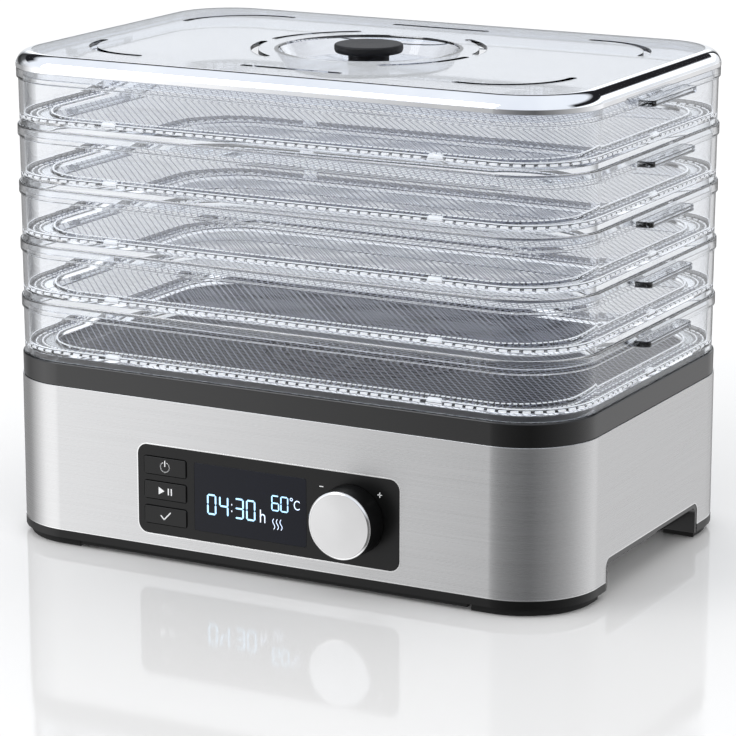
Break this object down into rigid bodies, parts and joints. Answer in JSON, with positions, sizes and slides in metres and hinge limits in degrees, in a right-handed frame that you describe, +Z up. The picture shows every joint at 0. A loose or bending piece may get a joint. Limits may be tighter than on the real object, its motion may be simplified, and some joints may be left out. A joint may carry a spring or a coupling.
{
  "type": "food dehydrator",
  "caption": "Rectangular countertop food dehydrator: steel heated fan base with dial and display, clear stacking trays, vented clear lid.",
  "frame": {"origin": "on the ground plane under the centre of the base, in the plane of the feet", "axes": "+Z up, +X to the right seen from the front, the control panel faces -Y"},
  "size_m": [0.309, 0.2095, 0.232],
  "materials": {
    "brushed_steel": "fine horizontal brushing",
    "black_plastic": "matt moulded",
    "rubber_foot": "matt",
    "zinc_screw": "zinc plated",
    "fascia_black": "satin",
    "display_tint": "smoked and clear",
    "display_black": "glossy",
    "circuit_board": "solder mask",
    "switch_plastic": "moulded",
    "shaft_steel": "ground",
    "dial_black": "satin",
    "dial_silver": "fine satin with a bright bevel",
    "key_black": "satin with pale printed signs",
    "duct_metal": "galvanised",
    "motor_can": "plated",
    "impeller_plastic": "moulded",
    "mica_board": "pressed mica",
    "heater_wire": "resistance wire",
    "sensor_bead": "resin bead",
    "terminal_plastic": "moulded",
    "clear_plastic": "clear, slightly blue",
    "clear_mesh": "clear fine mesh",
    "knob_black": "matt"
  },
  "bodies": {
    "base": {"steel_shell": "brushed_steel", "top_rim": "black_plastic", "air_deck": "black_plastic", "bottom_cover": "black_plastic", "foot_front_left": "rubber_foot", "foot_front_right": "rubber_foot", "foot_rear_left": "rubber_foot", "foot_rear_right": "rubber_foot", "cord_gland": "black_plastic", "cover_screws": "zinc_screw", "control_fascia": "fascia_black", "display_window": "display_tint", "display_module": "display_black", "control_board": "circuit_board", "board_screws": "zinc_screw", "tact_switches": "switch_plastic", "encoder_body": "zinc_screw", "air_duct": "duct_metal", "motor_bracket": "duct_metal", "motor_screws": "zinc_screw", "fan_motor": "motor_can", "heater_frame": "mica_board", "heater_coil": "heater_wire", "thermal_cutout": "switch_plastic", "temperature_sensor": "sensor_bead", "power_board": "circuit_board", "terminal_block": "terminal_plastic"},
    "dial": {"encoder_shaft": "shaft_steel", "dial_body": "dial_black", "dial_cap": "dial_silver"},
    "fan": {"motor_shaft": "shaft_steel", "impeller": "impeller_plastic"},
    "power_key": {"power_button": "key_black"},
    "start_pause_key": {"start_pause_button": "key_black"},
    "set_key": {"set_button": "key_black"},
    "tray_5": {"tray_5": "clear_plastic", "tray_mesh_5": "clear_mesh"},
    "tray_4": {"tray_4": "clear_plastic", "tray_mesh_4": "clear_mesh"},
    "tray_3": {"tray_3": "clear_plastic", "tray_mesh_3": "clear_mesh"},
    "tray_2": {"tray_2": "clear_plastic", "tray_mesh_2": "clear_mesh"},
    "tray_1": {"tray_1": "clear_plastic", "tray_mesh_1": "clear_mesh"},
    "lid": {"lid": "clear_plastic", "lid_knob": "knob_black", "lid_knob_screw": "zinc_screw"}
  },
  "joints": [
    {"name": "dial_turn", "type": "hinge", "parent": "base", "child": "dial", "pos_m": [0.0439, -0.0975, 0.0343], "axis": [0, -1, 0], "continuous": true},
    {"name": "fan_spin", "type": "hinge", "parent": "base", "child": "fan", "pos_m": [0, 0.01, 0.05], "axis": [0, 0, 1], "continuous": true},
    {"name": "power_press", "type": "slide", "parent": "base", "child": "power_key", "axis": [0, 1, 0], "range_m": [0, 0.0008], "stiffness_N_per_m": 400},
    {"name": "start_pause_press", "type": "slide", "parent": "base", "child": "start_pause_key", "axis": [0, 1, 0], "range_m": [0, 0.0008], "stiffness_N_per_m": 400},
    {"name": "set_press", "type": "slide", "parent": "base", "child": "set_key", "axis": [0, 1, 0], "range_m": [0, 0.0008], "stiffness_N_per_m": 400},
    {"name": "tray_5_lift", "type": "slide", "parent": "base", "child": "tray_5", "axis": [0, 0, 1], "range_m": [0, 0.035]},
    {"name": "tray_4_lift", "type": "slide", "parent": "tray_5", "child": "tray_4", "axis": [0, 0, 1], "range_m": [0, 0.035]},
    {"name": "tray_3_lift", "type": "slide", "parent": "tray_4", "child": "tray_3", "axis": [0, 0, 1], "range_m": [0, 0.035]},
    {"name": "tray_2_lift", "type": "slide", "parent": "tray_3", "child": "tray_2", "axis": [0, 0, 1], "range_m": [0, 0.035]},
    {"name": "tray_1_lift", "type": "slide", "parent": "tray_2", "child": "tray_1", "axis": [0, 0, 1], "range_m": [0, 0.035]},
    {"name": "lid_lift", "type": "slide", "parent": "tray_1", "child": "lid", "axis": [0, 0, 1], "range_m": [0, 0.035]}
  ]
}
